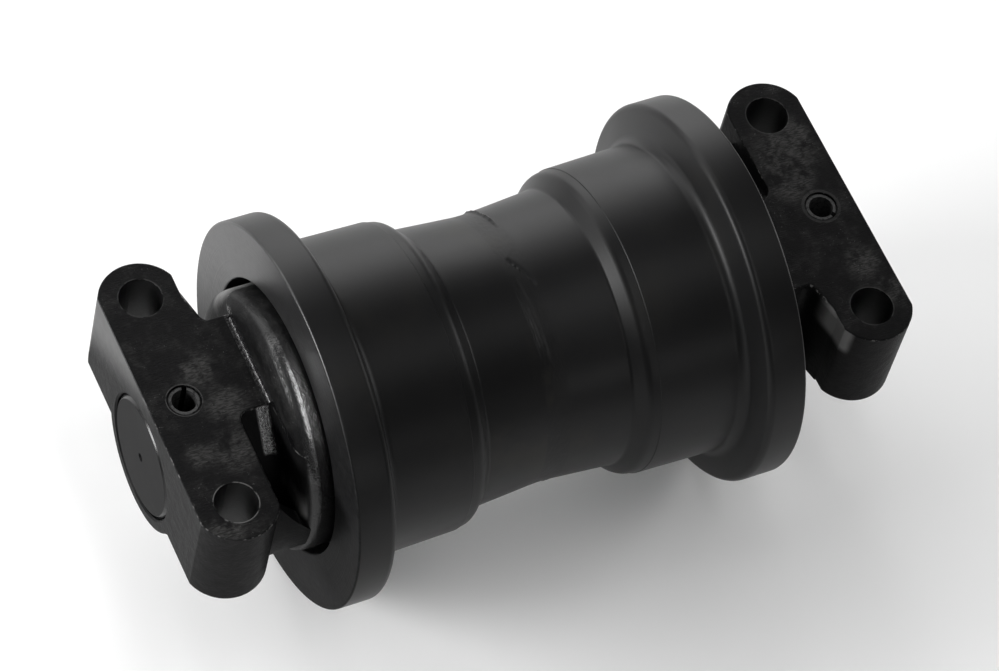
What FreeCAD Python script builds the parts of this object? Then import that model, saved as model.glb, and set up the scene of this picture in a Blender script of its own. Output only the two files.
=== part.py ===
"""Bottom track roller for a 20-tonne class excavator, in millimetres.

The roller turns about the Y axis. Z points up, to the track frame that the two end
collars are bolted under. The origin is the middle of the roller. "Near" is the end
at -Y and "far" the end at +Y. Stations are distances out from the middle.
"""
import FreeCAD
import Part
import math
import os

from FreeCAD import Vector

# Shaft
shaft_radius = 32.5
shaft_end_chamfer = 2.5
thrust_rise = 6.5
thrust_half_length = 20.0
centre_mark_radius = 2.4
oil_gallery_radius = 4.0
oil_feed_radius = 2.5
oil_feed_station = 58.0

# Roller shell, outside
flange_radius = 100.0
flange_station = 122.0
rim_width = 20.0
flange_back_slope = 4.6
flange_root_fillet = 6.0
rim_inner_round = 4.0
rim_outer_round = 1.2
tread_radius = 80.2
tread_rise = 1.2
tread_shoulder_station = 46.8
tread_shoulder_round = 8.0
waist_end_station = 39.5
waist_end_radius = 72.5
waist_radius = 70.0
waist_fillet = 3.0

# Weld that joins the two halves of the shell
weld_half_width = 6.5
weld_depth = 10.0
weld_crown = 1.0

# Roller shell, inside
counterbore_depth = 14.0
counterbore_round = 1.0
counterbore_gap = 4.0
seat_ledge = 6.5
seal_seat_taper = 1.5
seal_seat_depth = 14.0
seat_corner_round = 1.5
bush_wall = 7.0
bush_flange_rise = 8.5
bush_flange_thickness = 6.0
chamber_room = 6.5
chamber_half_length = 30.0

# Face seals: a metal ring and a rubber ring on each side of the sealing plane
seal_film = 0.3
toric_room = 8.5
seal_ring_wall = 4.0
seal_lip_room = 1.5
seal_ring_lip_thickness = 3.6
seal_ring_length = 12.0
seal_nose_fillet = 1.5

# End collars
skirt_wall = 11.0
skirt_front_clearance = 2.0
skirt_proud = 14.0
skirt_shoulder_round = 9.0
skirt_edge_land = 5.0
channel_floor_step = 0.5
channel_width = 18.0
channel_fillet = 6.0
lug_width = 40.0
lug_depth = 59.0
lug_end_radius = 21.5
lug_end_offset = 1.0
mount_height = 44.0
hub_wall = 7.0
hub_fillet = 5.0
web_reach = 50.0
web_thickness = 8.0
gusset_inner_x = 57.0
gusset_set_back = 1.0
gusset_low_station = 129.7
gusset_low_height = 0.4
gusset_middle_station = 141.5
gusset_middle_height = 14.6
gusset_high_height = 33.5
pad_short_side = 15.0
pad_long_side = 39.0
pad_slope_angle = 40.55
pad_flare_station = 148.5
pad_flare_reach = 62.0
pad_flare_round = 6.0
pocket_edge_round = 3.0
pad_root_fillet = 3.0
collar_edge_round = 2.0
mount_edge_round = 0.8
collar_bore_chamfer = 0.9

# Bolt holes through the lugs
bolt_hole_radius = 11.0
bolt_half_pitch = 61.0
bolt_edge_distance = 20.5
spot_face_radius = 18.0
spot_face_depth = 1.0

# Slotted lock pins through collar and shaft
lock_pin_radius = 8.5
lock_pin_wall = 2.3
lock_pin_slot = 2.6
lock_pin_chamfer = 0.9
lock_pin_edge_distance = 18.5
lock_pin_recess = 0.6
lock_pin_reach = 21.0
lock_pin_hole_room = 1.0
near_pin_slot_angle = 158.0
far_pin_slot_angle = 35.0
far_pin_offset = 1.5

# Rubber ring between shaft and collar
o_ring_section = 2.6
o_ring_side_room = 0.5
o_ring_depth = 12.0

# Oil filler plug in the far end of the shaft
plug_thread_radius = 7.0
plug_thread_length = 14.0
plug_head_radius = 10.5
plug_head_height = 5.0
plug_socket_flats = 8.0
plug_socket_depth = 4.5
plug_washer_thickness = 1.5
plug_recess_room = 1.0
plug_sunk = 0.8

# Clearances
running_clearance = 0.08
thrust_clearance = 0.3
fit_clearance = 0.05

# How far a cutting or joining solid runs past the face that it goes through
overrun = 1.0

# Sizes and places that follow from the ones above
thrust_radius = shaft_radius + thrust_rise
bush_outer_radius = shaft_radius + bush_wall
bush_flange_radius = bush_outer_radius + bush_flange_rise
chamber_radius = bush_outer_radius + chamber_room
seal_seat_radius = bush_flange_radius + seat_ledge
seal_seat_mouth = seal_seat_radius + seal_seat_taper
seal_ring_nose_radius = seal_seat_radius - toric_room
seal_ring_bore = seal_ring_nose_radius - seal_ring_wall
seal_ring_lip_radius = seal_seat_radius - seal_lip_room
skirt_radius = seal_seat_mouth + skirt_wall
counterbore_radius = skirt_radius + counterbore_gap
hub_radius = shaft_radius + hub_wall
channel_floor_radius = hub_radius + channel_floor_step
skirt_wall_station = flange_station + skirt_proud
lug_inner_station = skirt_wall_station + channel_width
collar_station = lug_inner_station + lug_width
counterbore_station = flange_station - counterbore_depth
skirt_front_station = counterbore_station + skirt_front_clearance
sealing_station = (counterbore_station + skirt_front_station) / 2
shell_seat_station = sealing_station - seal_seat_depth
collar_seat_station = sealing_station + seal_seat_depth
bolt_station = collar_station - bolt_edge_distance
pin_station = collar_station - lock_pin_edge_distance
lug_bottom = mount_height - lug_depth
lock_pin_bottom = shaft_radius - lock_pin_reach
lug_centre_x = bolt_half_pitch - lug_end_offset
lug_tip_x = lug_centre_x + lug_end_radius
lug_outer_x = lug_centre_x + math.sqrt(lug_end_radius ** 2 - bolt_edge_distance ** 2)
lug_inner_x = lug_centre_x + math.sqrt(lug_end_radius ** 2 - (lug_width - bolt_edge_distance) ** 2)
full_turn = 360.0
hexagon_sides = 6
tiny = 0.01

Y_AXIS = Vector(0, 1, 0)
Z_AXIS = Vector(0, 0, 1)
ORIGIN = Vector(0, 0, 0)


def round_corner(before, corner, after, radius):
    """Start, middle and end of the arc that rounds one corner of an outline."""
    back = (before - corner).normalize()
    ahead = (after - corner).normalize()
    half_angle = back.getAngle(ahead) / 2
    bisector = (back + ahead).normalize()
    reach = radius / math.tan(half_angle)
    centre = corner + bisector * (radius / math.sin(half_angle))
    return corner + back * reach, centre - bisector * radius, corner + ahead * reach


def outline(corners):
    """Closed wire through (point, radius) corners, each rounded by its own radius."""
    edges = []
    count = len(corners)
    last_end = None
    first_start = None
    for index in range(count):
        corner, radius = corners[index]
        before = corners[index - 1][0]
        after = corners[(index + 1) % count][0]
        if radius > 0:
            start, middle, end = round_corner(before, corner, after, radius)
        else:
            start = end = corner
        if last_end is None:
            first_start = start
        else:
            edges.append(Part.makeLine(last_end, start))
        if radius > 0:
            edges.append(Part.Arc(start, middle, end).toShape())
        last_end = end
    edges.append(Part.makeLine(last_end, first_start))
    return Part.Wire(edges)


def turned(corners):
    """Solid of revolution about Y from (radius, station, rounding) corners."""
    section = [(Vector(radius, station, 0), rounding) for radius, station, rounding in corners]
    return Part.Face(outline(section)).revolve(ORIGIN, Y_AXIS, full_turn)


def tube(inner, outer, start, end):
    """Plain ring about Y between two stations."""
    return turned([(inner, start, 0), (outer, start, 0), (outer, end, 0), (inner, end, 0)])


def rod(radius, start, end):
    """Cylinder about Y between two stations."""
    return Part.makeCylinder(radius, end - start, Vector(0, start, 0), Y_AXIS)


def vertical_hole(radius, x, station, bottom, top):
    """Cylinder parallel to Z."""
    return Part.makeCylinder(radius, top - bottom, Vector(x, station, bottom), Z_AXIS)


def near_copy(shape):
    """The same piece turned half round about Z, so that it serves the near end."""
    copy = shape.copy()
    copy.rotate(ORIGIN, Z_AXIS, full_turn / 2)
    return copy


def shell_half():
    """Far half of the shell: one forging, turned inside and out."""
    root_radius = tread_radius + tread_rise
    rim_inner = flange_station - rim_width
    bush_shelf = shell_seat_station - bush_flange_thickness
    weld_root = waist_radius - weld_depth
    return turned([
        (chamber_radius, 0, 0),
        (weld_root, 0, 0),
        (waist_radius, weld_half_width, 0),
        (waist_end_radius, waist_end_station, waist_fillet),
        (tread_radius, tread_shoulder_station, tread_shoulder_round),
        (root_radius, rim_inner - flange_back_slope, flange_root_fillet),
        (flange_radius, rim_inner, rim_inner_round),
        (flange_radius, flange_station, rim_outer_round),
        (counterbore_radius, flange_station, counterbore_round),
        (counterbore_radius, counterbore_station, counterbore_round),
        (seal_seat_mouth, counterbore_station, 0),
        (seal_seat_radius, shell_seat_station, seat_corner_round),
        (bush_flange_radius, shell_seat_station, 0),
        (bush_flange_radius, bush_shelf, 0),
        (bush_outer_radius, bush_shelf, 0),
        (bush_outer_radius, chamber_half_length, 0),
        (chamber_radius, chamber_half_length, 0),
    ])


def shell_weld():
    """Weld metal that fills the groove between the halves, with a low crown."""
    root = Vector(waist_radius - weld_depth, 0, 0)
    far_toe = Vector(waist_radius, weld_half_width, 0)
    near_toe = Vector(waist_radius, -weld_half_width, 0)
    crown = Vector(waist_radius + weld_crown, 0, 0)
    edges = [
        Part.makeLine(root, far_toe),
        Part.Arc(far_toe, crown, near_toe).toShape(),
        Part.makeLine(near_toe, root),
    ]
    return Part.Face(Part.Wire(edges)).revolve(ORIGIN, Y_AXIS, full_turn)


def bushing():
    """Far bearing bush, with the flange that seats in the shell."""
    bore = shaft_radius + running_clearance
    inner_end = thrust_half_length + thrust_clearance
    shelf = shell_seat_station - bush_flange_thickness
    return turned([
        (bore, inner_end, 0),
        (bush_outer_radius - fit_clearance, inner_end, 0),
        (bush_outer_radius - fit_clearance, shelf, 0),
        (bush_flange_radius - fit_clearance, shelf, 0),
        (bush_flange_radius - fit_clearance, shell_seat_station, 0),
        (bore, shell_seat_station, 0),
    ])


def seal_ring(direction):
    """Metal ring of a far face seal, running away from the sealing plane."""
    face = sealing_station + direction * seal_film / 2
    lip_back = face + direction * seal_ring_lip_thickness
    end = face + direction * seal_ring_length
    return turned([
        (seal_ring_bore, face, 0),
        (seal_ring_lip_radius, face, 0),
        (seal_ring_lip_radius, lip_back, 0),
        (seal_ring_nose_radius, lip_back, seal_nose_fillet),
        (seal_ring_nose_radius, end, 0),
        (seal_ring_bore, end, 0),
    ])


def toric_ring(direction):
    """Rubber ring squeezed between a metal ring's nose and its seat."""
    lip_back = sealing_station + direction * (seal_film / 2 + seal_ring_lip_thickness)
    section_radius = (seal_seat_radius - seal_ring_nose_radius) / 2 - fit_clearance
    pitch_radius = (seal_seat_radius + seal_ring_nose_radius) / 2
    station = lip_back + direction * (section_radius + fit_clearance)
    return Part.makeTorus(pitch_radius, section_radius, Vector(0, station, 0), Y_AXIS)


def o_ring():
    """Rubber ring in the groove of the far collar's bore."""
    section_radius = o_ring_section / 2
    pitch_radius = shaft_radius + section_radius
    station = collar_seat_station + o_ring_depth
    return Part.makeTorus(pitch_radius, section_radius - fit_clearance / 2, Vector(0, station, 0), Y_AXIS)


def shaft():
    """Through shaft with its thrust collar, oilways, pin holes and end details."""
    body = turned([
        (0, -collar_station, 0),
        (shaft_radius - shaft_end_chamfer, -collar_station, 0),
        (shaft_radius, shaft_end_chamfer - collar_station, 0),
        (shaft_radius, -thrust_half_length, 0),
        (thrust_radius, -thrust_half_length, 0),
        (thrust_radius, thrust_half_length, 0),
        (shaft_radius, thrust_half_length, 0),
        (shaft_radius, collar_station - shaft_end_chamfer, 0),
        (shaft_radius - shaft_end_chamfer, collar_station, 0),
        (0, collar_station, 0),
    ])
    cuts = []
    for side, pin_x in ((-1, 0), (1, -far_pin_offset)):
        cuts.append(vertical_hole(lock_pin_radius + fit_clearance, pin_x, side * pin_station,
                                  lock_pin_bottom - lock_pin_hole_room, shaft_radius + overrun))
        cuts.append(vertical_hole(oil_feed_radius, 0, side * oil_feed_station, -shaft_radius - overrun, 0))
    cuts.append(Part.makeCone(centre_mark_radius, 0, centre_mark_radius,
                              Vector(0, -collar_station, 0), Y_AXIS))
    head_seat = collar_station - plug_sunk - plug_head_height - plug_washer_thickness
    cuts.append(rod(oil_gallery_radius, -oil_feed_station - oil_feed_radius, collar_station))
    cuts.append(rod(plug_head_radius + plug_recess_room, head_seat, collar_station))
    cuts.append(rod(plug_thread_radius + fit_clearance, head_seat - plug_thread_length, head_seat))
    return body.cut(Part.makeCompound(cuts))


def collar_block():
    """The collar's two lugs and the pad between them, up to the mounting face."""
    edges = []

    def line(*places):
        for start, end in zip(places, places[1:]):
            edges.append(Part.makeLine(Vector(*start, lug_bottom), Vector(*end, lug_bottom)))

    def arc(start, middle, end):
        points = [Vector(*place, lug_bottom) for place in (start, middle, end)]
        edges.append(Part.Arc(*points).toShape())

    nook = channel_fillet * (1 - math.sqrt(0.5))
    pad_end = skirt_wall_station - skirt_edge_land
    pad_corner = lug_inner_station - channel_fillet
    long_turn = pad_long_side + channel_fillet
    short_turn = pad_short_side + channel_fillet
    line((-lug_outer_x, collar_station), (lug_outer_x, collar_station))
    arc((lug_outer_x, collar_station), (lug_tip_x, bolt_station), (lug_inner_x, lug_inner_station))
    line((lug_inner_x, lug_inner_station), (long_turn, lug_inner_station))
    arc((long_turn, lug_inner_station), (pad_long_side + nook, lug_inner_station - nook),
        (pad_long_side, pad_corner))
    line((pad_long_side, pad_corner), (pad_long_side, pad_end), (-pad_short_side, pad_end),
         (-pad_short_side, pad_corner))
    arc((-pad_short_side, pad_corner), (-pad_short_side - nook, lug_inner_station - nook),
        (-short_turn, lug_inner_station))
    line((-short_turn, lug_inner_station), (-lug_inner_x, lug_inner_station))
    arc((-lug_inner_x, lug_inner_station), (-lug_tip_x, bolt_station), (-lug_outer_x, collar_station))
    return soften_lugs(Part.Face(Part.Wire(edges)).extrude(Z_AXIS * lug_depth))


def soften_lugs(block):
    """Round the lugs' upright corners, then their undersides, then the mounting face's edge."""
    corner_x = min(lug_outer_x, lug_inner_x) - overrun

    def upright(edge):
        return edge.BoundBox.ZLength > lug_depth / 2 and abs(edge.CenterOfMass.x) > corner_x

    def underside(edge):
        return edge.BoundBox.YMin > collar_station - tiny and edge.BoundBox.ZMax < lug_bottom + tiny

    def mounting_edge(edge):
        return edge.BoundBox.YMin > collar_station - tiny and edge.BoundBox.ZMin > mount_height - tiny

    steps = ((upright, collar_edge_round), (underside, collar_edge_round), (mounting_edge, mount_edge_round))
    for chosen, rounding in steps:
        block = block.makeFillet(rounding, [edge for edge in block.Edges if chosen(edge)])
    return block


def pad_flare():
    """Metal that widens the pad's long side into the lug, with a soft edge over the pocket."""
    inside_x = pad_long_side - channel_fillet
    inside_y = lug_inner_station + channel_fillet
    pad_end = skirt_wall_station - skirt_edge_land
    places = [(inside_x, pad_end, 0), (pad_long_side, pad_end, 0),
              (pad_long_side, pad_flare_station, pad_flare_round), (pad_flare_reach, lug_inner_station, 0),
              (pad_flare_reach, inside_y, 0), (inside_x, inside_y, 0)]
    plan = [(Vector(x, y, lug_bottom), rounding) for x, y, rounding in places]
    flare = Part.Face(outline(plan)).extrude(Z_AXIS * lug_depth)
    pocket_edges = []
    for edge in flare.Edges:
        box = edge.BoundBox
        outside = box.XMin > pad_long_side - tiny and box.YMax < lug_inner_station + tiny
        if outside and box.ZMin > mount_height - tiny:
            pocket_edges.append(edge)
    return flare.makeFillet(pocket_edge_round, pocket_edges)


def collar_turned_form():
    """Hub, channel floor and skirt of the collar, all round the shaft."""
    return turned([
        (0, skirt_front_station, 0),
        (skirt_radius, skirt_front_station, 0),
        (skirt_radius, skirt_wall_station, skirt_shoulder_round),
        (channel_floor_radius, skirt_wall_station, channel_fillet),
        (channel_floor_radius, lug_inner_station, 0),
        (hub_radius, lug_inner_station, 0),
        (hub_radius, collar_station, collar_edge_round),
        (0, collar_station, 0),
    ])


def along_channel(places):
    """Prism of an (x, z) outline from inside the skirt's wall to inside the lugs."""
    start = skirt_wall_station - skirt_edge_land
    section = [(Vector(x, start, z), 0) for x, z in places]
    return Part.Face(outline(section)).extrude(Y_AXIS * (lug_inner_station + overrun - start))


def pad_slope():
    """Side of the pad that runs down from its short edge and dies out in the channel's floor."""
    angle = math.radians(pad_slope_angle)
    foot = (-channel_floor_radius * math.cos(angle), channel_floor_radius * math.sin(angle))
    return along_channel([(0, 0), (-pad_short_side, mount_height), foot])


def pad_root():
    """Concave root where the skirt rises out of the mounting face and of the pad's slope."""
    angle = math.radians(pad_slope_angle)
    foot_drop = mount_height - channel_floor_radius * math.sin(angle)
    foot_reach = channel_floor_radius * math.cos(angle) - pad_short_side
    centre = Vector(-pad_short_side, skirt_wall_station + pad_root_fillet, mount_height + pad_root_fillet)
    on_face = centre - Z_AXIS * pad_root_fillet
    on_wall = centre - Y_AXIS * pad_root_fillet
    middle = centre - (Y_AXIS + Z_AXIS) * (pad_root_fillet * math.sqrt(0.5))
    behind_wall = on_wall - Y_AXIS * overrun
    under_face = on_face - Z_AXIS * overrun
    inside = Vector(under_face.x, behind_wall.y, under_face.z)
    wire = Part.Wire([
        Part.Arc(on_face, middle, on_wall).toShape(),
        Part.makeLine(on_wall, behind_wall),
        Part.makeLine(behind_wall, inside),
        Part.makeLine(inside, under_face),
        Part.makeLine(under_face, on_face),
    ])
    section = Part.Face(wire)
    along_face = section.extrude(Vector(pad_short_side + pad_long_side - pocket_edge_round, 0, 0))
    down_slope = section.extrude(Vector(-foot_reach, 0, -foot_drop))
    return along_face.fuse(down_slope)


def collar_web():
    """Floor of the pockets, level with the lugs' undersides."""
    web_top = lug_bottom + web_thickness
    return along_channel([(-gusset_inner_x - overrun, lug_bottom), (web_reach, lug_bottom),
                          (web_reach, web_top), (-gusset_inner_x - overrun, web_top)])


def pocket_gusset():
    """Outer wall of the short side's pocket, swept up from the skirt to the lug."""
    inside_lug = lug_inner_station + overrun

    def place(station, height):
        return Vector(-gusset_inner_x, station, height)

    low = place(gusset_low_station, gusset_low_height)
    middle = place(gusset_middle_station, gusset_middle_height)
    high = place(lug_inner_station, gusset_high_height)
    wire = Part.Wire([
        Part.Arc(low, middle, high).toShape(),
        Part.makeLine(high, place(inside_lug, gusset_high_height)),
        Part.makeLine(place(inside_lug, gusset_high_height), place(inside_lug, lug_bottom)),
        Part.makeLine(place(inside_lug, lug_bottom), place(gusset_low_station, lug_bottom)),
        Part.makeLine(place(gusset_low_station, lug_bottom), low),
    ])
    wall = Part.Face(wire).extrude(Vector(gusset_inner_x - skirt_radius, 0, 0))
    return wall.common(rod(skirt_radius - gusset_set_back, gusset_low_station, inside_lug))


def channel_flare():
    """Concave root between the channel's floor and the lugs' inner side, above the web."""
    root_start = lug_inner_station - channel_fillet
    root_end = lug_inner_station + overrun
    reach = channel_floor_radius + channel_fillet
    flare = turned([
        (channel_floor_radius - overrun, root_start, 0),
        (channel_floor_radius, root_start, 0),
        (channel_floor_radius, lug_inner_station, channel_fillet - tiny),
        (reach, lug_inner_station, 0),
        (reach, root_end, 0),
        (channel_floor_radius - overrun, root_end, 0),
    ])
    room = Part.makeBox(2 * reach, root_end - root_start, lug_depth, Vector(-reach, root_start, lug_bottom))
    return flare.common(room)


def underside_fillet(side):
    """Concave fillet where the hub runs up into the underside of one lug and of the web."""
    start = skirt_wall_station - skirt_edge_land
    end = collar_station - mount_edge_round
    centre_distance = hub_radius + hub_fillet
    centre_z = lug_bottom - hub_fillet
    centre = Vector(side * math.sqrt(centre_distance ** 2 - centre_z ** 2), start, centre_z)
    inward = Vector(-centre.x, 0, -centre.z).normalize()
    middle_way = (inward + Z_AXIS).normalize()
    on_underside = Vector(centre.x, start, lug_bottom)
    on_hub = centre + inward * hub_fillet
    inside_hub = Vector(on_hub.x / 2, start, lug_bottom + overrun)
    inside_lug = on_underside + Z_AXIS * overrun
    wire = Part.Wire([
        Part.Arc(on_underside, centre + middle_way * hub_fillet, on_hub).toShape(),
        Part.makeLine(on_hub, inside_hub),
        Part.makeLine(inside_hub, inside_lug),
        Part.makeLine(inside_lug, on_underside),
    ])
    return Part.Face(wire).extrude(Y_AXIS * (end - start))


def collar_casting():
    """Far end collar as cast, with the mounting face milled flat."""
    body = collar_block().fuse([collar_turned_form(), pad_flare(), pad_slope(), collar_web(),
                                pocket_gusset(), channel_flare(), underside_fillet(-1), underside_fillet(1)])
    above = Part.makeBox(2 * skirt_radius, lug_width + channel_width, skirt_radius,
                         Vector(-skirt_radius, skirt_wall_station, mount_height))
    return body.cut(above).fuse(pad_root()).removeSplitter()


def collar_cuts(pin_x):
    """Everything that is bored or faced out of the casting."""
    bore = shaft_radius + fit_clearance
    groove = shaft_radius + o_ring_section
    groove_half = o_ring_section / 2 + o_ring_side_room
    groove_middle = collar_seat_station + o_ring_depth
    cuts = [
        rod(bore, skirt_front_station - overrun, collar_station + overrun),
        tube(bore - overrun, groove, groove_middle - groove_half, groove_middle + groove_half),
        turned([
            (0, skirt_front_station - overrun, 0),
            (seal_seat_mouth, skirt_front_station - overrun, 0),
            (seal_seat_mouth, skirt_front_station, 0),
            (seal_seat_radius, collar_seat_station, seat_corner_round),
            (0, collar_seat_station, 0),
        ]),
        Part.makeCone(bore, bore + 2 * collar_bore_chamfer, 2 * collar_bore_chamfer,
                      Vector(0, collar_station - collar_bore_chamfer, 0), Y_AXIS),
        vertical_hole(lock_pin_radius + fit_clearance, pin_x, pin_station, 0, mount_height + overrun),
    ]
    for side in (-1, 1):
        x = side * bolt_half_pitch
        cuts.append(vertical_hole(bolt_hole_radius, x, bolt_station, lug_bottom - overrun,
                                  mount_height + overrun))
        cuts.append(vertical_hole(spot_face_radius, x, bolt_station, lug_bottom - overrun,
                                  lug_bottom + spot_face_depth))
    return Part.makeCompound(cuts)


def lock_pin(pin_x, station, slot_angle):
    """Slotted spring pin that ties a collar to the shaft."""
    bottom = lock_pin_bottom
    top = mount_height - lock_pin_recess
    bore = lock_pin_radius - lock_pin_wall
    section = [
        (Vector(bore, 0, bottom), 0),
        (Vector(lock_pin_radius - lock_pin_chamfer, 0, bottom), 0),
        (Vector(lock_pin_radius, 0, bottom + lock_pin_chamfer), 0),
        (Vector(lock_pin_radius, 0, top - lock_pin_chamfer), 0),
        (Vector(lock_pin_radius - lock_pin_chamfer, 0, top), 0),
        (Vector(bore, 0, top), 0),
    ]
    pin = Part.Face(outline(section)).revolve(ORIGIN, Z_AXIS, full_turn)
    slot = Part.makeBox(2 * lock_pin_radius, lock_pin_slot, top - bottom,
                        Vector(0, -lock_pin_slot / 2, bottom))
    slot.rotate(ORIGIN, Z_AXIS, slot_angle)
    pin = pin.cut(slot)
    pin.translate(Vector(pin_x, station, 0))
    return pin


def oil_plug():
    """Filler plug with a hexagon socket, sunk in the far end of the shaft."""
    head_top = collar_station - plug_sunk
    head_bottom = head_top - plug_head_height
    thread_end = head_bottom - plug_washer_thickness - plug_thread_length + plug_recess_room
    body = rod(plug_head_radius, head_bottom, head_top)
    body = body.fuse(rod(plug_thread_radius, thread_end, head_bottom))
    corner_radius = plug_socket_flats / 2 / math.cos(math.pi / hexagon_sides)
    corners = []
    for index in range(hexagon_sides):
        angle = math.radians(index * full_turn / hexagon_sides)
        place = Vector(corner_radius * math.cos(angle), head_top - plug_socket_depth,
                       corner_radius * math.sin(angle))
        corners.append((place, 0))
    socket = Part.Face(outline(corners)).extrude(Y_AXIS * (plug_socket_depth + overrun))
    return body.cut(socket)


def oil_plug_washer():
    """Soft metal washer under the plug's head."""
    head_bottom = collar_station - plug_sunk - plug_head_height
    return tube(plug_thread_radius + fit_clearance, plug_head_radius,
                head_bottom - plug_washer_thickness, head_bottom)


def paired_pieces():
    """Pieces that both ends have, modelled at the far end."""
    return {
        "shell_half": shell_half(),
        "bushing": bushing(),
        "turning_seal_ring": seal_ring(-1),
        "turning_toric_ring": toric_ring(-1),
        "fixed_seal_ring": seal_ring(1),
        "fixed_toric_ring": toric_ring(1),
        "shaft_o_ring": o_ring(),
    }


def all_pieces():
    """Every piece of the roller by its name."""
    pieces = {"shaft": shaft(), "shell_weld": shell_weld()}
    for name, shape in paired_pieces().items():
        pieces["far_" + name] = shape
        pieces["near_" + name] = near_copy(shape)
    casting = collar_casting()
    pieces["far_end_collar"] = casting.cut(collar_cuts(-far_pin_offset))
    pieces["near_end_collar"] = near_copy(casting.cut(collar_cuts(0)))
    pieces["far_lock_pin"] = lock_pin(-far_pin_offset, pin_station, far_pin_slot_angle)
    pieces["near_lock_pin"] = lock_pin(0, -pin_station, near_pin_slot_angle)
    pieces["oil_plug"] = oil_plug()
    pieces["oil_plug_washer"] = oil_plug_washer()
    return pieces


os.makedirs("parts", exist_ok=True)
for name, shape in all_pieces().items():
    print(name, len(shape.Solids), "solid", round(shape.Volume / 1000, 1), "cm3", shape.isValid())
    shape.exportStep(os.path.join("parts", name + ".step"))
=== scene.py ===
import math

import bmesh
import bpy
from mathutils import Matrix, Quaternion, Vector, noise


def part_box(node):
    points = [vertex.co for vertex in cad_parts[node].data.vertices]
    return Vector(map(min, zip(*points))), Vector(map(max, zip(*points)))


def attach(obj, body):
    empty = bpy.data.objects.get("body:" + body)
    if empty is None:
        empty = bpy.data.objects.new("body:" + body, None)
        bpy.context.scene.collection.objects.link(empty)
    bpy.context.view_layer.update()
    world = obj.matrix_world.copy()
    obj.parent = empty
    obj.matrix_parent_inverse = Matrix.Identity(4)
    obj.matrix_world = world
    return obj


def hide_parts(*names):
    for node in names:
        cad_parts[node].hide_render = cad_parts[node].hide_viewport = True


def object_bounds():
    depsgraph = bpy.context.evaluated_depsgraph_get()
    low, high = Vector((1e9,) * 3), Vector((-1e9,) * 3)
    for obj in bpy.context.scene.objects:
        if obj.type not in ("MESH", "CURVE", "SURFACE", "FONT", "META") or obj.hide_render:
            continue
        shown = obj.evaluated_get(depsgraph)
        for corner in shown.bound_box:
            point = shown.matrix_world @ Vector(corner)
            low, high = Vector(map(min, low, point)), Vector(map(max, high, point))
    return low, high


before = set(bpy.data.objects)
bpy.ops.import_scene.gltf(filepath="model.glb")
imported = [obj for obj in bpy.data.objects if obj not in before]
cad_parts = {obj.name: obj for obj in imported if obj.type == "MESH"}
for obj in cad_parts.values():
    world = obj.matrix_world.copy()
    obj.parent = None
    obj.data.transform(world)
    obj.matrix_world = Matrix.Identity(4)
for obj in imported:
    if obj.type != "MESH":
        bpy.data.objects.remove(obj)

cad_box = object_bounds()


# Camera
# A long lens about two and a half metres off, above the near right corner, tipped so that
# the roller lies across the frame with its far end high.
camera_place = Vector((1.0407, -0.8120, 2.0048))
camera_sight = Vector((-0.4357, 0.3394, -0.8337))
camera_roll = math.radians(16.17)
camera_lens_mm = 172.06
camera_sensor_mm = 36.0

camera_data = bpy.data.cameras.new("studio_camera")
camera_data.sensor_width = camera_sensor_mm
camera_data.lens = camera_lens_mm
camera_data.clip_end = 20.0
camera = bpy.data.objects.new("studio_camera", camera_data)
camera.location = camera_place
level_turn = camera_sight.to_track_quat("-Z", "Y")
camera.rotation_mode = "QUATERNION"
camera.rotation_quaternion = level_turn @ Quaternion((0, 0, 1), camera_roll)
bpy.context.scene.collection.objects.link(camera)
bpy.context.scene.camera = camera


# Studio
# A white floor under the flanges, glowing faintly, in a dark room. Broad panels stand at the
# left, small lamps at the near end, right and back, and a long strip hangs overhead.
floor_drop = 0.0005
floor_half = 6.0
floor_roughness = 0.8
floor_gloss = 0.1
studio_white = (0.95, 0.95, 0.95, 1.0)
floor_glow = 0.05
room_strength = 0.02
softboxes = {
    "left_panel": {"place": (-1.966, 0.716, 0.680), "size": (1.3, 1.3), "power": 20.0},
    "left_high": {"place": (-1.635, 0.0, 1.472), "size": (1.2, 1.2), "power": 11.0},
    "front_left": {"place": (-1.677, -1.048, 0.964), "size": (1.6, 1.3), "power": 22.0},
    "near_low": {"place": (-0.340, -2.030, 0.720), "size": (0.9, 0.5), "power": 46.0},
    "top_strip": {"place": (0.550, -0.070, 1.380), "size": (0.16, 1.7), "power": 5.0},
    "right_low": {"place": (1.850, 0.390, 0.650), "size": (0.5, 0.5), "power": 2.4},
    "right_high": {"place": (0.449, 0.691, 2.040), "size": (0.8, 0.8), "power": 3.0},
    "back_right": {"place": (0.169, 1.935, 1.033), "size": (0.9, 0.9), "power": 12.0},
}


def studio_floor():
    """Flat floor plane just under the lowest point of the roller."""
    low = cad_box[0][2] - floor_drop
    mesh = bpy.data.meshes.new("studio_floor")
    corners = [(-floor_half, -floor_half, low), (floor_half, -floor_half, low),
               (floor_half, floor_half, low), (-floor_half, floor_half, low)]
    mesh.from_pydata(corners, [], [(0, 1, 2, 3)])
    floor = bpy.data.objects.new("studio_floor", mesh)
    bpy.context.scene.collection.objects.link(floor)
    material = bpy.data.materials.new("studio_floor")
    material.use_nodes = True
    shader = material.node_tree.nodes["Principled BSDF"]
    shader.inputs["Base Color"].default_value = studio_white
    shader.inputs["Roughness"].default_value = floor_roughness
    shader.inputs["Specular IOR Level"].default_value = floor_gloss
    shader.inputs["Emission Color"].default_value = studio_white
    shader.inputs["Emission Strength"].default_value = floor_glow
    mesh.materials.append(material)


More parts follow.
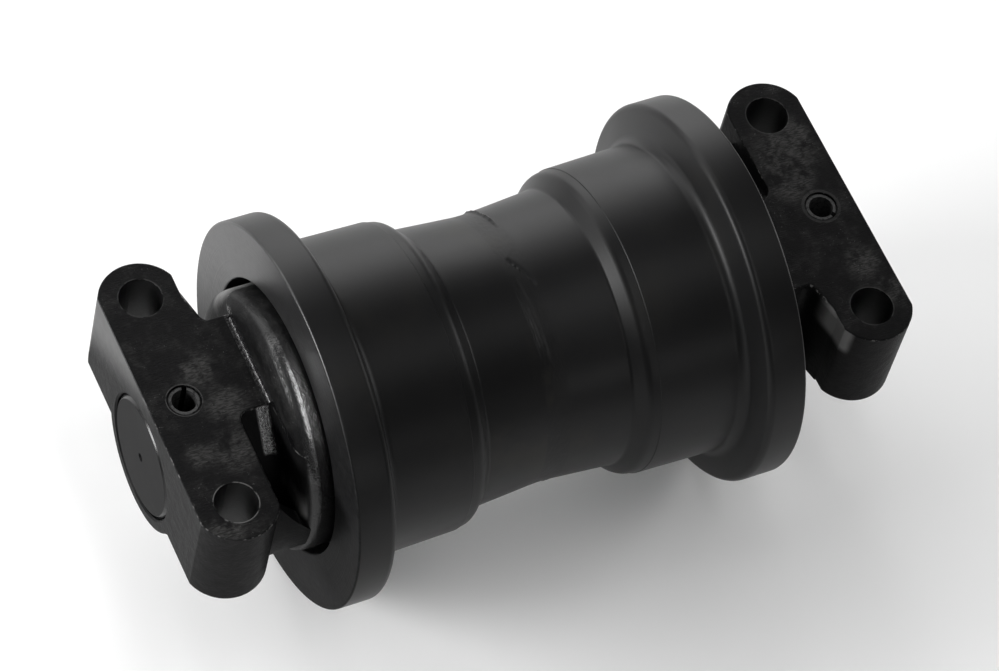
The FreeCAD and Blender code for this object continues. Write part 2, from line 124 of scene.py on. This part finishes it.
def softbox(name, place, size, power):
    """Rectangular area light aimed at the roller, its second side upright."""
    data = bpy.data.lights.new(name, "AREA")
    data.shape = "RECTANGLE"
    data.size, data.size_y = size
    data.energy = power
    light = bpy.data.objects.new(name, data)
    light.location = place
    light.rotation_mode = "QUATERNION"
    light.rotation_quaternion = (-Vector(place)).to_track_quat("-Z", "Y")
    bpy.context.scene.collection.objects.link(light)


studio_floor()
for name, box in softboxes.items():
    softbox(name, **box)
room = bpy.data.worlds.new("studio_room")
room.use_nodes = True
room.node_tree.nodes["Background"].inputs["Color"].default_value = studio_white
room.node_tree.nodes["Background"].inputs["Strength"].default_value = room_strength
bpy.context.scene.world = room
bpy.context.scene.view_settings.view_transform = "Standard"


# Roller shell
# Two steel forgings, turned inside and out and welded at the waist, each with a tread, an
# outer flange and a counterbore for the seal housing. Painted satin black, with dust on the
# waist and the rings of the lathe showing on the end faces.
flange_radius = 0.100
flange_station = 0.122
rim_width = 0.020
rim_inner_round = 0.004
rim_outer_round = 0.0012
flange_back_slope = 0.0046
flange_root_fillet = 0.006
tread_radius = 0.0802
tread_rise = 0.0012
tread_shoulder_station = 0.0468
shoulder_drop = 0.0011
shoulder_set_back = 0.0010
shoulder_round = 0.0065
lip_drop = 0.0003
lip_station = 0.0512
lip_width = 0.0004
lip_rise = 0.0001
lip_round = 0.0002
waist_end_radius = 0.0725
waist_end_station = 0.0395
waist_fillet = 0.003
waist_radius = 0.070
weld_half_width = 0.0065
weld_depth = 0.010
counterbore_radius = 0.071
counterbore_station = 0.108
counterbore_round = 0.001
shell_seat_station = 0.095
seal_seat_radius = 0.0545
seal_seat_mouth = 0.056
seat_corner_round = 0.0015
bush_flange_radius = 0.048
bush_flange_station = 0.089
bush_radius = 0.0395
chamber_radius = 0.046
chamber_half_length = 0.030
arc_step = math.radians(9)
shell_segments = 288
shell_sharp_edge = math.radians(32)
same_point = 1e-7
shell_black = (0.0042, 0.0042, 0.0044, 1)
shell_dust = (0.0120, 0.0112, 0.0085, 1)
shell_grey = (0.0200, 0.0200, 0.0205, 1)


def rounded(corners):
    """Outline through (radius, station, rounding) corners, each arc cut into short steps."""
    points = []
    count = len(corners)
    for index, (radius, station, rounding) in enumerate(corners):
        corner = Vector((radius, station))
        if rounding == 0:
            points.append(corner)
            continue
        back = (Vector(corners[index - 1][:2]) - corner).normalized()
        ahead = (Vector(corners[(index + 1) % count][:2]) - corner).normalized()
        half_angle = back.angle(ahead) / 2
        bisector = (back + ahead).normalized()
        centre = corner + bisector * (rounding / math.sin(half_angle))
        start = corner + back * (rounding / math.tan(half_angle)) - centre
        end = corner + ahead * (rounding / math.tan(half_angle)) - centre
        sweep = start.angle_signed(end)
        steps = max(2, round(abs(sweep) / arc_step))
        for step in range(steps + 1):
            turn = -sweep * step / steps
            cosine, sine = math.cos(turn), math.sin(turn)
            points.append(centre + Vector((start.x * cosine - start.y * sine,
                                           start.x * sine + start.y * cosine)))
    return points


def new_piece(name, mesh, body, replaced):
    """Object for one piece: riding on its body, in place of its node."""
    piece = bpy.data.objects.new(name, mesh)
    bpy.context.scene.collection.objects.link(piece)
    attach(piece, body)
    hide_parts(replaced)
    return piece


def mesh_through(name, rings, edge_angle):
    """Closed mesh through sections set round the axis, sharp at edges above the angle."""
    mesh = bpy.data.meshes.new(name)
    shape = bmesh.new()
    rings = [[shape.verts.new(point) for point in ring] for ring in rings]
    for this, after in zip(rings, rings[1:] + rings[:1]):
        for index in range(len(this)):
            ahead = (index + 1) % len(this)
            shape.faces.new((this[index], this[ahead], after[ahead], after[index]))
    bmesh.ops.remove_doubles(shape, verts=shape.verts, dist=same_point)
    bmesh.ops.recalc_face_normals(shape, faces=shape.faces)
    shape.to_mesh(mesh)
    shape.free()
    mesh.shade_smooth()
    mesh.set_sharp_from_angle(angle=edge_angle)
    return mesh


def shell_outline():
    """Section of the far half of the shell, with a low lip at the edge of the tread."""
    rim_inner = flange_station - rim_width
    return rounded([
        (chamber_radius, 0.0, 0),
        (waist_radius - weld_depth, 0.0, 0),
        (waist_radius, weld_half_width, 0),
        (waist_end_radius, waist_end_station, waist_fillet),
        (tread_radius - shoulder_drop, tread_shoulder_station - shoulder_set_back, shoulder_round),
        (tread_radius - lip_drop, lip_station, 0),
        (tread_radius + lip_rise, lip_station + lip_width, lip_round),
        (tread_radius + tread_rise, rim_inner - flange_back_slope, flange_root_fillet),
        (flange_radius, rim_inner, rim_inner_round),
        (flange_radius, flange_station, rim_outer_round),
        (counterbore_radius, flange_station, counterbore_round),
        (counterbore_radius, counterbore_station, counterbore_round),
        (seal_seat_mouth, counterbore_station, 0),
        (seal_seat_radius, shell_seat_station, seat_corner_round),
        (bush_flange_radius, shell_seat_station, 0),
        (bush_flange_radius, bush_flange_station, 0),
        (bush_radius, bush_flange_station, 0),
        (bush_radius, chamber_half_length, 0),
        (chamber_radius, chamber_half_length, 0),
    ])


def shell_mesh(name, side):
    """One half of the shell, turned about Y. Side is 1 for the far half and -1 for the near."""
    outline = shell_outline()
    rings = []
    for segment in range(shell_segments):
        angle = 2 * math.pi * segment / shell_segments
        cosine, sine = math.cos(angle), math.sin(angle)
        rings.append([(point.x * cosine, side * point.y, point.x * sine) for point in outline])
    return mesh_through(name, rings, shell_sharp_edge)


class Paint:
    """One shader socket, with the sums that a finish needs written as plain expressions."""

    tree = None

    def __init__(self, socket):
        self.socket = socket

    @classmethod
    def start(cls, name):
        """New material; later nodes go into its tree."""
        material = bpy.data.materials.new(name)
        material.use_nodes = True
        cls.tree = material.node_tree
        cls.tree.nodes.clear()
        return material

    @classmethod
    def node(cls, kind, settings=None, output=0, **inputs):
        """Any node: its type, its settings first, then values or links by socket name or number."""
        made = cls.tree.nodes.new(kind)
        for key, value in (settings or {}).items():
            setattr(made, key, value)
        for key, value in inputs.items():
            number = key[1:]
            target = made.inputs[int(number) if number.isdigit() else key.replace("_", " ")]
            if isinstance(value, Paint):
                cls.tree.links.new(value.socket, target)
            else:
                target.default_value = value
        return cls(made.outputs[output])

    def maths(self, operation, *others):
        """Math node on this socket and up to two more values."""
        values = {"_%d" % number: value for number, value in enumerate((self,) + others)}
        return Paint.node("ShaderNodeMath", {"operation": operation}, **values)

    def __add__(self, other):
        return self.maths("ADD", other)

    def __sub__(self, other):
        return self.maths("SUBTRACT", other)

    def __mul__(self, other):
        return self.maths("MULTIPLY", other)

    def __radd__(self, other):
        return self.maths("ADD", other)

    def __rmul__(self, other):
        return self.maths("MULTIPLY", other)

    def __rsub__(self, other):
        return self.maths("MULTIPLY_ADD", -1.0, other)

    def between(self, low, high):
        """0 below low, 1 above high, smooth in between."""
        return Paint.node("ShaderNodeMapRange", {"interpolation_type": "SMOOTHSTEP"},
                          Value=self, From_Min=low, From_Max=high)


def place():
    """Position on the piece, in metres."""
    return Paint.node("ShaderNodeTexCoord", output="Object")


def axis_values(vector):
    """The three parts of a vector."""
    return [Paint.node("ShaderNodeSeparateXYZ", output=axis, Vector=vector) for axis in "XYZ"]


def speckle(vector, per_metre, detail=3.0, roughness=0.55, stretch=None):
    """Soft noise of a given fineness, or of its own fineness along each axis."""
    if stretch:
        vector = Paint.node("ShaderNodeVectorMath", {"operation": "MULTIPLY"},
                            _0=vector, _1=stretch)
    return Paint.node("ShaderNodeTexNoise", Vector=vector, Scale=per_metre, Detail=detail,
                      Roughness=roughness)


def turned_rings(distance, per_metre, detail):
    """Rings round the axis, as a lathe leaves them on an end face."""
    return Paint.node("ShaderNodeTexNoise", {"noise_dimensions": "1D"},
                      W=distance, Scale=per_metre, Detail=detail)


def blend_colours(share, first, second):
    """Mix of two colours."""
    return Paint.node("ShaderNodeMix", {"data_type": "RGBA"}, output=2,
                      _0=share, _6=first, _7=second)


def surface(colour, roughness, height, depth, gloss, metallic=0.0, index=1.5):
    """Main shader, with a bump of the given depth in metres. A higher index shines more."""
    relief = Paint.node("ShaderNodeBump", Height=height, Distance=depth, Strength=1.0)
    return Paint.node("ShaderNodeBsdfPrincipled", Base_Color=colour, Roughness=roughness, IOR=index,
                      Metallic=metallic, Specular_IOR_Level=gloss, Normal=relief)


def mix_shaders(share, first, second):
    """Mix of two shaders."""
    return Paint.node("ShaderNodeMixShader", _0=share, _1=first, _2=second)


def finished(material, shader):
    """The material with this shader on its surface."""
    output = Paint.tree.nodes.new("ShaderNodeOutputMaterial")
    Paint.tree.links.new(shader.socket, output.inputs["Surface"])
    return material


def upper_side(x, y, z):
    """Height, more on the side where both end faces catch the light."""
    return z + x * y.maths("SIGN") * 0.6


def shell_paint():
    """Satin enamel: a faint orange peel over lathe lines, rings on the end face, dusty patches."""
    material = Paint.start("shell_paint")
    spot = place()
    x, y, z = axis_values(spot)
    station = y.maths("ABSOLUTE")
    distance = (x * x + z * z).maths("SQRT")
    peel = speckle(spot, 900.0, 2.0)
    lathe_lines = speckle(spot, 60.0, 4.0, 0.7, (0.5, 40.0, 0.5))
    cloud = speckle(spot, 22.0, 4.0, 0.6)
    rings = turned_rings(distance, 900.0, 2.0)
    brush = speckle(spot, 1.0, 4.0, 0.65, (220.0, 220.0, 700.0))
    end_face = station.between(flange_station - rim_outer_round, flange_station - 0.0004)
    sheen = upper_side(x, y, z).between(-0.02, 0.08) * (0.8 + brush * 0.4)
    waist = 1.0 - station.between(waist_end_station - 0.008, waist_end_station + 0.004)
    dust = cloud.between(0.50, 0.70) * (0.25 + waist * 0.45)
    colour = blend_colours(dust, shell_black, shell_dust)
    colour = blend_colours(end_face * brush.between(0.20, 0.80) * 0.60, colour, shell_grey)
    turned = surface(colour, 0.35 + cloud * 0.12, peel * 0.35 + lathe_lines * 0.5, 0.00004, 0.20)
    relief = rings * cloud * 3.0 + brush * 0.8
    dull = surface(colour, 0.42 + cloud * 0.14, relief, 0.00004, 0.03)
    faced = surface(colour, 0.28 + cloud * 0.14, relief, 0.00004, 0.55)
    return finished(material, mix_shaders(end_face, turned, mix_shaders(sheen, dull, faced)))


shell_material = shell_paint()
for side, name in ((1, "far_shell"), (-1, "near_shell")):
    half = shell_mesh(name, side)
    half.materials.append(shell_material)
    new_piece(name, half, "roller", name + "_half")


# Weld
# Filler metal in the groove where the two forgings meet, turned down nearly flush after
# welding. A few laps and undercuts are left in it, under the same paint.
weld_segments = 720
weld_steps = 28
weld_sag = 0.00024
weld_lump = 0.00005
weld_grain = 0.00001
weld_sharp_edge = math.radians(60)
weld_marks = {
    "lap": ((84, -0.0062), (53, -0.0040), 0.0010, 0.00040),
    "groove": ((90, -0.0034), (50, -0.0006), 0.0019, -0.00040),
    "undercut": ((99, -0.0022), (83, 0.0058), 0.0021, -0.00060),
    "crest": ((156, 0.0046), (118, 0.0048), 0.0014, 0.00110),
    "low_lap": ((-62, 0.0030), (-20, 0.0044), 0.0016, 0.00035),
    "far_lap": ((262, -0.0040), (205, -0.0020), 0.0018, 0.00060),
}


def unrolled(degrees, station):
    """Place on the bead's face laid out flat, in metres."""
    return Vector((math.radians(degrees) * waist_radius, station))


def weld_mark(degrees, station, start, end, width, height):
    """Height at one place of a lap or undercut that runs from start to end on the bead."""
    from_start = unrolled(degrees, station) - unrolled(*start)
    way = unrolled(*end) - unrolled(*start)
    share = min(1.0, max(0.0, from_start.dot(way) / way.length_squared))
    reach = max(0.0, 1.0 - (from_start - way * share).length / width)
    return height * reach * reach * (3 - 2 * reach) * (1 - (2 * share - 1) ** 4)


def weld_height(angle, across):
    """Radius of the bead's face: nearly flush, but for the marks and faint lumps."""
    degrees = math.degrees(angle)
    station = weld_half_width * across
    cosine, sine = math.cos(angle), math.sin(angle)
    lump = noise.noise(Vector((cosine * 26, station * 900, sine * 26)))
    fine = noise.noise(Vector((cosine * 110, station * 1600, sine * 110)))
    marks = 0.0
    for start, end, width, height in weld_marks.values():
        turn = 360 * round(((start[0] + end[0]) / 2 - degrees) / 360)
        marks += weld_mark(degrees + turn, station, start, end, width, height)
    swell = marks * (1.0 + 0.5 * lump + 0.4 * fine) + weld_lump * lump + weld_grain * fine
    return waist_radius - weld_sag * (1 - across * across) + swell * (1 - across ** 6)


def weld_mesh():
    """Ring of weld metal, nearly flush with the shell."""
    root = waist_radius - weld_depth
    rings = []
    for segment in range(weld_segments):
        angle = 2 * math.pi * segment / weld_segments
        cosine, sine = math.cos(angle), math.sin(angle)
        ring = [(root * cosine, 0.0, root * sine)]
        for step in range(weld_steps + 1):
            across = 2 * step / weld_steps - 1
            height = weld_height(angle, across)
            ring.append((height * cosine, weld_half_width * across, height * sine))
        rings.append(ring)
    return mesh_through("weld_bead", rings, weld_sharp_edge)


def weld_paint():
    """The shell's enamel over weld metal, a little rougher."""
    material = Paint.start("weld_paint")
    spot = place()
    grit = speckle(spot, 1500.0, 3.0)
    cloud = speckle(spot, 60.0, 4.0)
    colour = blend_colours(cloud.between(0.50, 0.70) * 0.6, shell_black, shell_dust)
    return finished(material, surface(colour, 0.36 + cloud * 0.16, grit, 0.00004, 0.20))


bead = weld_mesh()
bead.materials.append(weld_paint())
new_piece("weld_bead", bead, "roller", "shell_weld")


# Shaft
# One turned steel bar through the whole roller. Only its chamfered ends show, flush with
# the collars, the near one with a lathe centre mark. Thinly painted.
shaft_black = (0.0050, 0.0050, 0.0052, 1)
shaft_grey = (0.0120, 0.0120, 0.0123, 1)
chamfer_inner_radius = 0.0298
chamfer_edge = 0.0005


def shaft_paint():
    """Thin enamel over fine turned rings, glossier on the chamfer."""
    material = Paint.start("shaft_paint")
    spot = place()
    x, y, z = axis_values(spot)
    distance = (x * x + z * z).maths("SQRT")
    rings = turned_rings(distance, 1400.0, 3.0)
    cloud = speckle(spot, 90.0, 4.0)
    colour = blend_colours(cloud.between(0.4, 0.75) * 0.4, shaft_black, shaft_grey)
    face = surface(colour, 0.34 + cloud * 0.12, rings * 0.6 + cloud * 0.4, 0.00004, 0.02)
    chamfer = surface(colour, 0.22 + cloud * 0.12, cloud, 0.00004, 0.32)
    edge = distance.between(chamfer_inner_radius, chamfer_inner_radius + chamfer_edge)
    return finished(material, mix_shaders(edge, face, chamfer))


def dress(node, material):
    """Gives a CAD node its finish."""
    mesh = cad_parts[node].data
    mesh.materials.clear()
    mesh.materials.append(material)


dress("shaft", shaft_paint())


# End collars
# Two identical steel castings, milled flat on top where they bolt under the track frame,
# faced at the outer end and bored for the shaft. Brushed with thick black enamel.
collar_black = (0.0038, 0.0038, 0.0040, 1)
collar_worn = (0.0420, 0.0415, 0.0405, 1)
# Bare steel colour, also used for painted highlights on the milled edge and bolt hole rims.
collar_bright = (0.1400, 0.1390, 0.1370, 1)
# Pale colour painted where light falls in the pockets beside the skirt.
collar_painted_light = (0.2000, 0.1990, 0.1970, 1)
mount_height = 0.044
collar_station = 0.194
lug_inner_station = 0.154
skirt_station = 0.136
skirt_radius = 0.067
bolt_pitch = 0.122
bolt_station = 0.1735
bolt_hole_radius = 0.011
paint_soft = 0.0002
streak_side = (-0.012, 0.014)
streak_height = (0.026, 0.050)
streak_least = 0.14
run_side = (0.014, 0.036)
run_height = (0.0240, 0.0262)
lug_wall_reach = (0.046, 0.060)
lug_wall_height = (0.031, 0.044)
low_wall_reach = (0.036, 0.052)
low_wall_bottom = (0.007, 0.013)
low_wall_top = (0.012, 0.026)
sheen_height = (0.035, 0.065)
scuff_spots = [
    (-0.014, -0.164, 0.015), (0.009, -0.157, 0.016), (0.034, -0.163, 0.018),
    (0.073, -0.183, 0.014), (0.032, -0.181, 0.010), (-0.036, 0.173, 0.024),
    (-0.020, 0.166, 0.018), (0.036, 0.181, 0.014), (0.056, 0.187, 0.012),
    (-0.048, 0.180, 0.014),
]
pin_rings = {
    "near_lock_pin": {"inner": 0.0089, "outer": 0.0091, "strength": 0.45},
    "far_lock_pin": {"inner": 0.0088, "outer": 0.0101, "strength": 0.16},
}


def band(value, low, high, soft):
    """1 between low and high, with soft edges."""
    return value.between(low - soft, low) * (1.0 - value.between(high, high + soft))


def away_from(spot, centre):
    """Distance from one place."""
    return Paint.node("ShaderNodeVectorMath", {"operation": "DISTANCE"}, output="Value",
                      _0=spot, _1=centre)


def scuffed(spot):
    """How much the paint is rubbed off around the places where it is."""
    share = 0.0
    for x, y, reach in scuff_spots:
        away = away_from(spot, (x, y, mount_height))
        share = (1.0 - away.between(reach * 0.25, reach)) + share
    return share.maths("MINIMUM", 1.0)


def pin_rims(spot, strength_by_place):
    """Worn rings round the two pin holes."""
    rims = 0.0
    for pin, ring in pin_rings.items():
        low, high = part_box(pin)
        centre = ((low[0] + high[0]) / 2, (low[1] + high[1]) / 2, mount_height)
        rim = band(away_from(spot, centre), ring["inner"], ring["outer"], paint_soft)
        rims = rim * ring["strength"] * strength_by_place + rims
    return rims


def skirt_streak(distance, station, short_side, z):
    """Thick wet-looking enamel along the crest of the skirt."""
    crest = distance.between(skirt_radius - 0.0028, skirt_radius - 0.0010)
    inner = station.between(skirt_station - 0.0052, skirt_station - 0.0032) * 0.85
    outer = station.between(skirt_station, skirt_station + 0.0005)
    upper = streak_least + z.between(*streak_height) * (1.0 - streak_least)
    beside = 0.06 + short_side.between(*streak_side) * 0.94
    return crest * (1.0 - inner) * (1.0 - outer) * upper * beside


def pad_root(station, z):
    """Line where the pad meets the skirt."""
    root = band(station, skirt_station - 0.0004, skirt_station + 0.0026, 0.0008)
    return root * band(z, mount_height + 0.0002, mount_height + 0.0028, 0.0008)


def paint_run(station, short_side, top):
    """Grainy enamel that ran down the pad's sloping end into the pocket."""
    run = band(station, skirt_station + 0.0028, skirt_station + 0.0072, 0.0016)
    return run * (1.0 - top) * band(short_side, *run_side, 0.003)


def pocket_painted_light(x, y, station, z, top, lumps):
    """Painted light: pale colour where light falls on the top of the lug's inner wall and low on the
    near skirt's wall.
    """
    lug_wall = (x * y.maths("SIGN")).between(*lug_wall_reach) * (1.0 - top)
    lug_wall = lug_wall * (1.0 - station.between(lug_inner_station + 0.001, lug_inner_station + 0.004))
    lug_wall = lug_wall * (0.03 + band(z, *lug_wall_height, 0.007) * 1.2) * (0.6 + lumps * 0.6)
    low_wall = (0.0 - y).between(0.0, 0.01) * x.between(*low_wall_reach)
    low_wall = low_wall * z.between(*low_wall_bottom) * (1.0 - z.between(*low_wall_top))
    low_wall = low_wall * band(station, skirt_station - 0.0020, skirt_station + 0.0005, 0.0015)
    return (lug_wall + low_wall * (0.4 + lumps * 0.5)).maths("MINIMUM", 1.0)


def collar_paint():
    """Dull rubbed enamel on the milled faces, thick and shiny on the skirt and in the pocket."""
    material = Paint.start("collar_paint")
    spot = place()
    x, y, z = axis_values(spot)
    station = y.maths("ABSOLUTE")
    short_side = x * y.maths("SIGN") * -1.0
    distance = (x * x + z * z).maths("SQRT")
    aside = x.maths("ABSOLUTE") - bolt_pitch / 2
    along = station - bolt_station
    from_bolt = (aside * aside + along * along).maths("SQRT")
    grain = speckle(spot, 900.0, 4.0, 0.6)
    lumps = speckle(spot, 170.0, 4.0, 0.6)
    sway = speckle(spot, 70.0, 3.0)
    marks = speckle(spot, 1.0, 3.0, 0.6, (1500.0, 260.0, 1500.0))
    chips = speckle(spot, 420.0, 3.0, 0.6)
    pits = speckle(spot, 1100.0, 1.0)

    top = z.between(mount_height - 3 * paint_soft, mount_height - paint_soft)
    end = station.between(collar_station - 3 * paint_soft, collar_station - paint_soft)
    bore = 1.0 - from_bolt.between(bolt_hole_radius + 0.0001, bolt_hole_radius + 0.0004)
    bore = bore * (1.0 - z.between(mount_height - 0.0012, mount_height - 0.0006))
    run = paint_run(station, short_side, top)
    wet_share = skirt_streak(distance, station, short_side, z)
    wet_share = wet_share.maths("MAXIMUM", run * z.between(*run_height))
    sheen = end * upper_side(x, y, z).between(*sheen_height)

    patches = scuffed(spot) * (sway * 0.4 + lumps * 0.6).between(0.38, 0.56)
    faint = (sway * 0.55 + lumps * 0.45).between(0.46, 0.66) * 0.35
    rubbed = patches.maths("MAXIMUM", faint) * (0.25 + marks.between(0.38, 0.62) * 0.75)
    # Chips along the milled face's edge round, also a painted highlight along that edge.
    edge = band(z, mount_height - 0.0007, mount_height - 0.0003, paint_soft)
    edge_chips_and_highlight = edge * chips.between(0.52, 0.62) * (1.0 - bore)
    near_right = x.between(0.0, 0.01) * (0.0 - y).between(0.0, 0.01)
    # Worn bolt hole rims, also a painted highlight on the rim, strongest on the near right hole.
    rim = band(from_bolt, bolt_hole_radius, bolt_hole_radius + 0.0004, paint_soft)
    rim = rim * z.between(mount_height - 3 * paint_soft, mount_height - paint_soft)
    rim = rim * (0.25 + near_right * 0.65) * lumps.between(0.40, 0.52)
    specks = top * pits.between(0.70, 0.76) * sway.between(0.45, 0.60) * 0.5
    rings = pin_rims(spot, top * lumps.between(0.30, 0.50))
    # Bare steel from chips, rims, specks and pin rings, partly painted highlight on edges and rims.
    bare_and_highlight = (edge_chips_and_highlight + rim + specks + rings).maths("MINIMUM", 1.0)
    colour = blend_colours(top * rubbed, collar_black, collar_worn)
    colour = blend_colours(bare_and_highlight * 0.7, colour, collar_bright)
    # Painted light: the pale colour on the lug walls and the near skirt's wall stands for light
    # falling there.
    dust = pocket_painted_light(x, y, station, z, top, lumps)
    colour = blend_colours(dust, colour, collar_painted_light)

    cast = grain * 0.5 + lumps * 1.2
    milled = marks * 0.9 + grain * 0.4 + lumps * 0.8
    thick = cast + chips * 0.8
    relief = top * milled + (1.0 - top) * cast
    dull = surface(colour, 0.40 + lumps * 0.2, relief, 0.00026, 0.07)
    faced = surface(collar_black, 0.28 + lumps * 0.14, grain, 0.00004, 0.50)
    shiny = surface(collar_black, 0.12 + lumps * 0.14, thick, 0.00022, 0.45)
    wet = surface(collar_black, 0.18 + lumps * 0.12, thick + run * grain * 2.5, 0.00018, 0.90,
                  index=2.3)
    flat = mix_shaders(sheen.maths("MAXIMUM", bore * 0.5), dull, faced)
    rooted = mix_shaders(pad_root(station, z) * (1.0 - bore), flat, shiny)
    return finished(material, mix_shaders(wet_share, rooted, wet))


collar_material = collar_paint()
for name in ("near_end_collar", "far_end_collar"):
    dress(name, collar_material)


# Lock pins
# Slotted tubes of rolled spring steel, driven through each collar into the shaft and left
# a little below the milled face. Oily grey, with traces of the black enamel.
pin_grey = (0.055, 0.055, 0.055, 1)
pin_painted = (0.015, 0.015, 0.015, 1)


def pin_finish():
    """Bare spring steel with traces of black paint."""
    material = Paint.start("pin_steel")
    spot = place()
    cloud = speckle(spot, 700.0, 4.0)
    colour = blend_colours(cloud.between(0.45, 0.65), pin_grey, pin_painted)
    return finished(material, surface(colour, 0.40 + cloud * 0.25, cloud, 0.00006, 0.3, 0.4))


pin_material = pin_finish()
for name in ("near_lock_pin", "far_lock_pin"):
    dress(name, pin_material)


# Bushes, seals and plug
# Bronze bushes pressed into the shell, metal face seals on their rubber rings, an O-ring
# in each collar, and the filler plug with its washer, sunk in the far end of the shaft.
inner_finishes = {
    "bush_bronze": ((0.50, 0.33, 0.15, 1), (0.36, 0.24, 0.12, 1), 1.0),
    "seal_steel": ((0.38, 0.38, 0.39, 1), (0.30, 0.30, 0.31, 1), 1.0),
    "seal_rubber": ((0.018, 0.018, 0.018, 1), (0.028, 0.028, 0.027, 1), 0.0),
    "plug_steel": ((0.40, 0.40, 0.41, 1), (0.30, 0.30, 0.31, 1), 1.0),
    "washer_copper": ((0.60, 0.30, 0.18, 1), (0.45, 0.22, 0.14, 1), 1.0),
}
inner_pieces = {
    "bush_bronze": ["near_bushing", "far_bushing"],
    "seal_steel": ["near_turning_seal_ring", "near_fixed_seal_ring",
                   "far_turning_seal_ring", "far_fixed_seal_ring"],
    "seal_rubber": ["near_turning_toric_ring", "near_fixed_toric_ring", "near_shaft_o_ring",
                    "far_turning_toric_ring", "far_fixed_toric_ring", "far_shaft_o_ring"],
    "plug_steel": ["oil_plug"],
    "washer_copper": ["oil_plug_washer"],
}


def inner_finish(name, base, mark, metallic):
    """Machined metal or moulded rubber, with fine clouding."""
    material = Paint.start(name)
    spot = place()
    cloud = speckle(spot, 300.0, 4.0)
    colour = blend_colours(cloud, base, mark)
    return finished(material, surface(colour, 0.28 + cloud * 0.2, cloud, 0.00003, 0.5, metallic))


for name, finish in inner_finishes.items():
    material = inner_finish(name, *finish)
    for node in inner_pieces[name]:
        dress(node, material)
